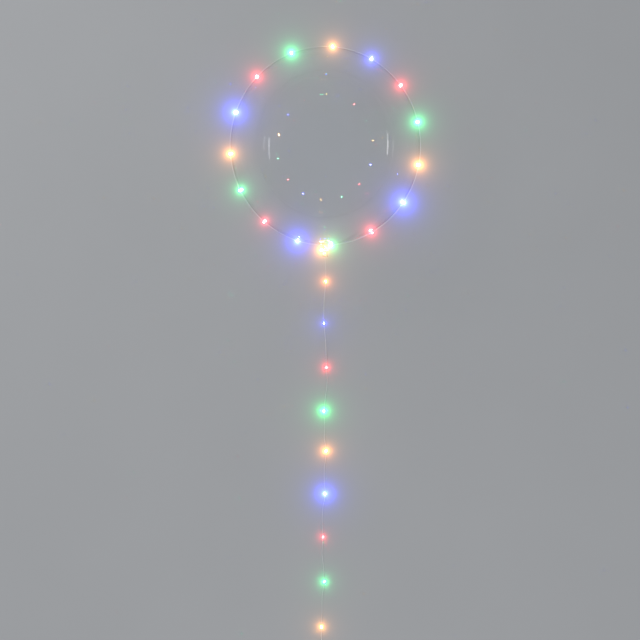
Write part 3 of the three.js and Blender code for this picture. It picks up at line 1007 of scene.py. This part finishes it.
def add_floor():
    """A level sheet, wide enough for every view."""
    sides = ((-1, -1), (1, -1), (1, 1), (-1, 1))
    corners = [(FLOOR_REACH * x, FLOOR_REACH * y, FLOOR_HEIGHT) for x, y in sides]
    floor = add_mesh("floor", corners, [(0, 1, 2, 3)], [FLOOR], smooth=False)


def add_softbox(name, place, target, size, power, mirrored):
    """A soft rectangular lamp that faces a point. Only a mirrored one shows its shape in glossy surfaces."""
    data = bpy.data.lights.new(name, "AREA")
    data.shape = "RECTANGLE"
    data.size, data.size_y = size
    data.energy = power
    lamp = bpy.data.objects.new(name, data)
    lamp.visible_glossy = mirrored
    lamp.visible_transmission = mirrored
    bpy.context.collection.objects.link(lamp)
    back = unit(np.array(place, dtype=float) - np.array(target, dtype=float))
    tilt = math.acos(back[2])
    spin = math.atan2(back[1], back[0]) + math.pi / 2
    lamp.location = place
    lamp.rotation_euler = (tilt, 0, spin)


def add_bead_lamps():
    """A small coloured lamp beside each light. On the ring and at the neck it stands outside the light, away
    from the ball's middle, shows in reflections and through clear pieces, and lights no dull surface. On the
    loose wire it stands above the light, and colours the floor too."""
    for i, (_, centre, colour) in enumerate(ring_lights + trail_lights):
        data = bpy.data.lights.new(f"bead_lamp_{i}", "POINT")
        lamp = bpy.data.objects.new(data.name, data)
        glow = LIGHTS[colour][0]
        on_ring = centre[2] > BALL_HEIGHT / 2
        near_neck = centre[1] < NECK_START + 2 * GATHER_LENGTH and abs(centre[0]) < 2 * GATHER_RADIUS
        if on_ring:
            stretch = "neck" if near_neck else "ring"
            outward = unit(centre - BALL_CENTRE)
            data.color = tuple(RING_LAMP_PALING + (1 - RING_LAMP_PALING) * c for c in glow)
        else:
            stretch = "trail"
            outward = np.array([0, 0, 1.0])
            data.color = glow
        data.energy = LAMP_POWER[stretch] * (BLUE_BOOST if colour == "blue" else 1)
        data.shadow_soft_size = LAMP_SIZE
        lamp.location = centre + outward * LAMP_OUT
        lamp.visible_camera = False
        lamp.visible_diffuse = not on_ring
        bpy.context.collection.objects.link(lamp)


def set_tones():
    """Shows colours as they are, so that the lights keep their hues, and keeps their glints in the film."""
    bpy.context.scene.view_settings.view_transform = "Standard"
    bpy.context.scene.cycles.sample_clamp_indirect = 80.0


def add_world(level, overhead):
    """Soft light from all round, which rises evenly with the height of its direction from the level strength
    to the strength overhead. Level, it is about as bright as the far floor, so that the floor ends softly."""
    world = bpy.data.worlds.new("studio")
    world.use_nodes = True
    tree = world.node_tree
    background = tree.nodes["Background"]
    background.inputs["Color"].default_value = (0.92, 0.95, 1.0, 1)
    direction = tree.nodes.new("ShaderNodeTexCoord")
    parts = tree.nodes.new("ShaderNodeSeparateXYZ")
    rise = tree.nodes.new("ShaderNodeMapRange")
    rise.inputs["To Min"].default_value = level
    rise.inputs["To Max"].default_value = overhead
    tree.links.new(direction.outputs["Generated"], parts.inputs["Vector"])
    tree.links.new(parts.outputs["Z"], rise.inputs["Value"])
    tree.links.new(rise.outputs["Result"], background.inputs["Strength"])
    bpy.context.scene.world = world


def add_glow():
    """The soft glow that a lens gives to small bright lights."""
    scene = bpy.context.scene
    scene.use_nodes = True
    tree = scene.node_tree
    tree.nodes.clear()
    layers = tree.nodes.new("CompositorNodeRLayers")
    glare = tree.nodes.new("CompositorNodeGlare")
    output = tree.nodes.new("CompositorNodeComposite")
    glare.glare_type = "FOG_GLOW"
    glare.quality = "HIGH"
    glare.inputs["Threshold"].default_value = 1.2
    glare.inputs["Strength"].default_value = 1.0
    glare.inputs["Size"].default_value = 0.5
    tree.links.new(layers.outputs["Image"], glare.inputs["Image"])
    tree.links.new(glare.outputs["Image"], output.inputs["Image"])


# Name, place, the point it faces, size, watts, and whether its shape shows in glossy surfaces
SOFTBOXES = [
    ("window_light", (-1.7, 1.3, 2.4), (0, 0, 0.2), (1.3, 1.3), 25, False),
    ("tall_strip", (2.0, 0.06, 0.66), (0, 0, 0.2), (0.7, 0.07), 0.55, True),
    ("short_strip", (2.0, -0.08, 0.36), (0, 0, 0.2), (0.42, 0.035), 0.1, True),
    ("front_fill", (0.3, -2.6, 2.2), (0, -0.6, 0), (1.6, 0.8), 12, False),
]

add_floor()
for softbox in SOFTBOXES:
    add_softbox(*softbox)
add_bead_lamps()
add_world(level=0.28, overhead=0.53)
set_tones()
add_glow()
